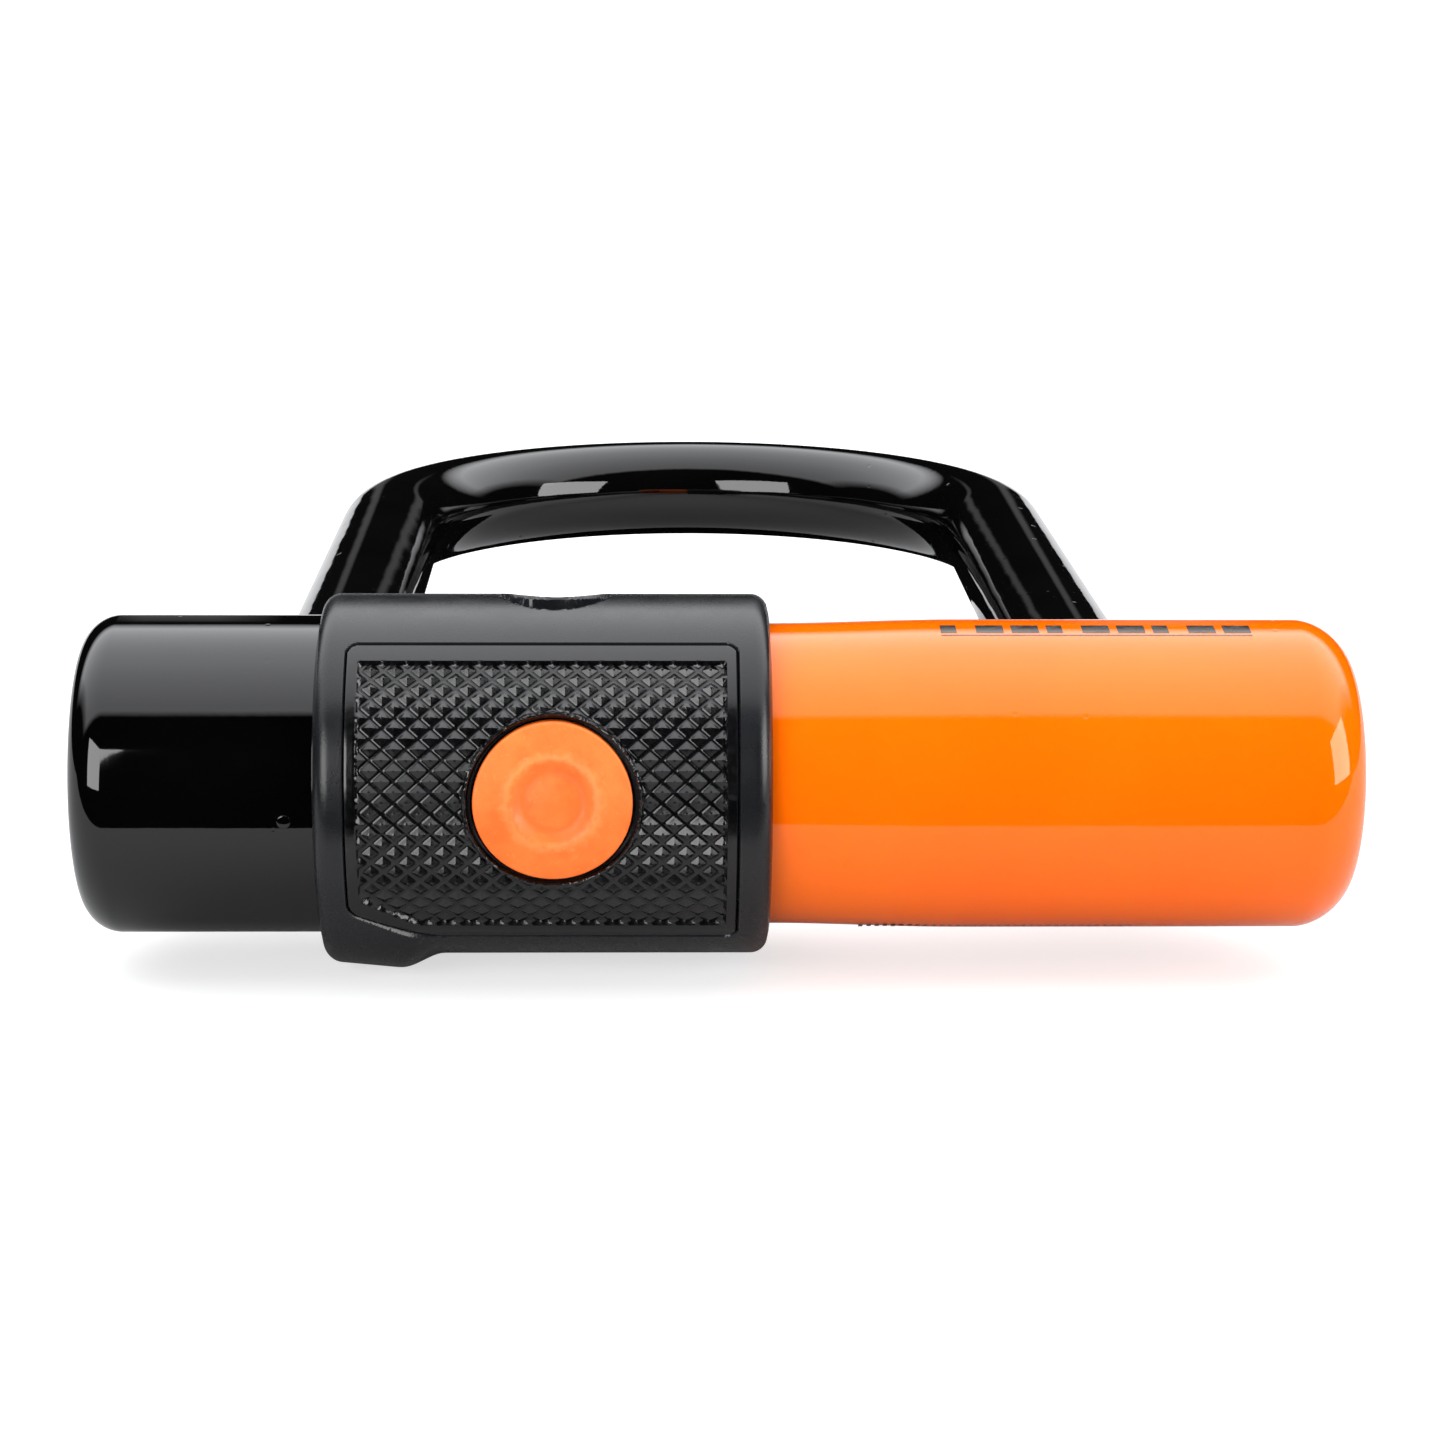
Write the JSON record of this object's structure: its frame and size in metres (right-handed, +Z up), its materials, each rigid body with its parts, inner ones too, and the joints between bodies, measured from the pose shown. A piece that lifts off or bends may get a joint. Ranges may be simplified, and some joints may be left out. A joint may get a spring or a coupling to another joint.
{
  "type": "bicycle u-lock",
  "caption": "Short bicycle U-lock: a coated steel shackle held in a round two-colour crossbar with a turning cover collar, grip pad and key cylinder.",
  "frame": {"origin": "bottom centre of the whole lock's box, under the middle of the space inside the shackle", "axes": "+X along the crossbar towards its orange end, +Y from the crossbar towards the shackle's bend, +Z up on the key side"},
  "size_m": [0.1518, 0.2348, 0.0443],
  "materials": {
    "hardened_steel": "dark ground steel, light oil film",
    "black_vinyl": "thick glossy dipped vinyl",
    "orange_vinyl": "thick glossy dipped vinyl",
    "black_plastic": "satin moulded plastic",
    "pad_rubber": "firm rubber with moulded pyramids",
    "orange_rubber": "soft satin rubber",
    "seal_rubber": "plain matte rubber",
    "bright_steel": "turned steel",
    "brass": "stamped, flat"
  },
  "bodies": {
    "crossbar": {"crossbar_tube": "hardened_steel", "left_end_plug": "hardened_steel", "right_end_plug": "hardened_steel", "black_sleeve": "black_vinyl", "orange_sleeve": "orange_vinyl", "centre_sleeve": "black_plastic", "left_leg_grommet": "seal_rubber", "right_leg_grommet": "seal_rubber", "cylinder_housing": "bright_steel", "left_cylinder_pin": "bright_steel", "right_cylinder_pin": "bright_steel", "left_bolt_guide": "hardened_steel", "middle_bolt_guide": "hardened_steel", "right_bolt_guide": "hardened_steel"},
    "shackle": {"shackle_rod": "hardened_steel", "shackle_coating": "black_vinyl"},
    "key_core": {"core_barrel": "bright_steel", "key_face_disc": "bright_steel", "locking_disc_1": "brass", "locking_disc_2": "brass", "locking_disc_3": "brass", "locking_disc_4": "brass", "locking_disc_5": "brass", "locking_disc_6": "brass", "locking_disc_7": "brass", "sidebar": "bright_steel", "bolt_cam": "hardened_steel"},
    "left_bolt": {"left_deadbolt": "hardened_steel"},
    "right_bolt": {"right_deadbolt": "hardened_steel"},
    "collar": {"cover_collar": "black_plastic", "grip_pad": "pad_rubber", "dust_plug": "orange_rubber", "left_collar_seal": "seal_rubber", "right_collar_seal": "seal_rubber"}
  },
  "joints": [
    {"name": "shackle_slide", "type": "slide", "parent": "crossbar", "child": "shackle", "axis": [0, 1, 0], "range_m": [0, 0.06]},
    {"name": "key_turn", "type": "hinge", "parent": "crossbar", "child": "key_core", "pos_m": [-0.0197, -0.09596, 0.0231], "axis": [0, 0, 1], "range_deg": [0, 90]},
    {"name": "left_bolt_slide", "type": "slide", "parent": "crossbar", "child": "left_bolt", "axis": [-1, 0, 0], "range_m": [0, 0.0055]},
    {"name": "right_bolt_slide", "type": "slide", "parent": "crossbar", "child": "right_bolt", "axis": [1, 0, 0], "range_m": [0, 0.0055]},
    {"name": "collar_turn", "type": "hinge", "parent": "crossbar", "child": "collar", "pos_m": [0, -0.09596, 0.0231], "axis": [1, 0, 0], "range_deg": [-50, 4]}
  ],
  "couplings": [
    {"joint": "left_bolt_slide", "follows": "right_bolt_slide", "ratio": 1},
    {"joint": "key_turn", "follows": "right_bolt_slide", "rad_per_m": 285.59}
  ]
}
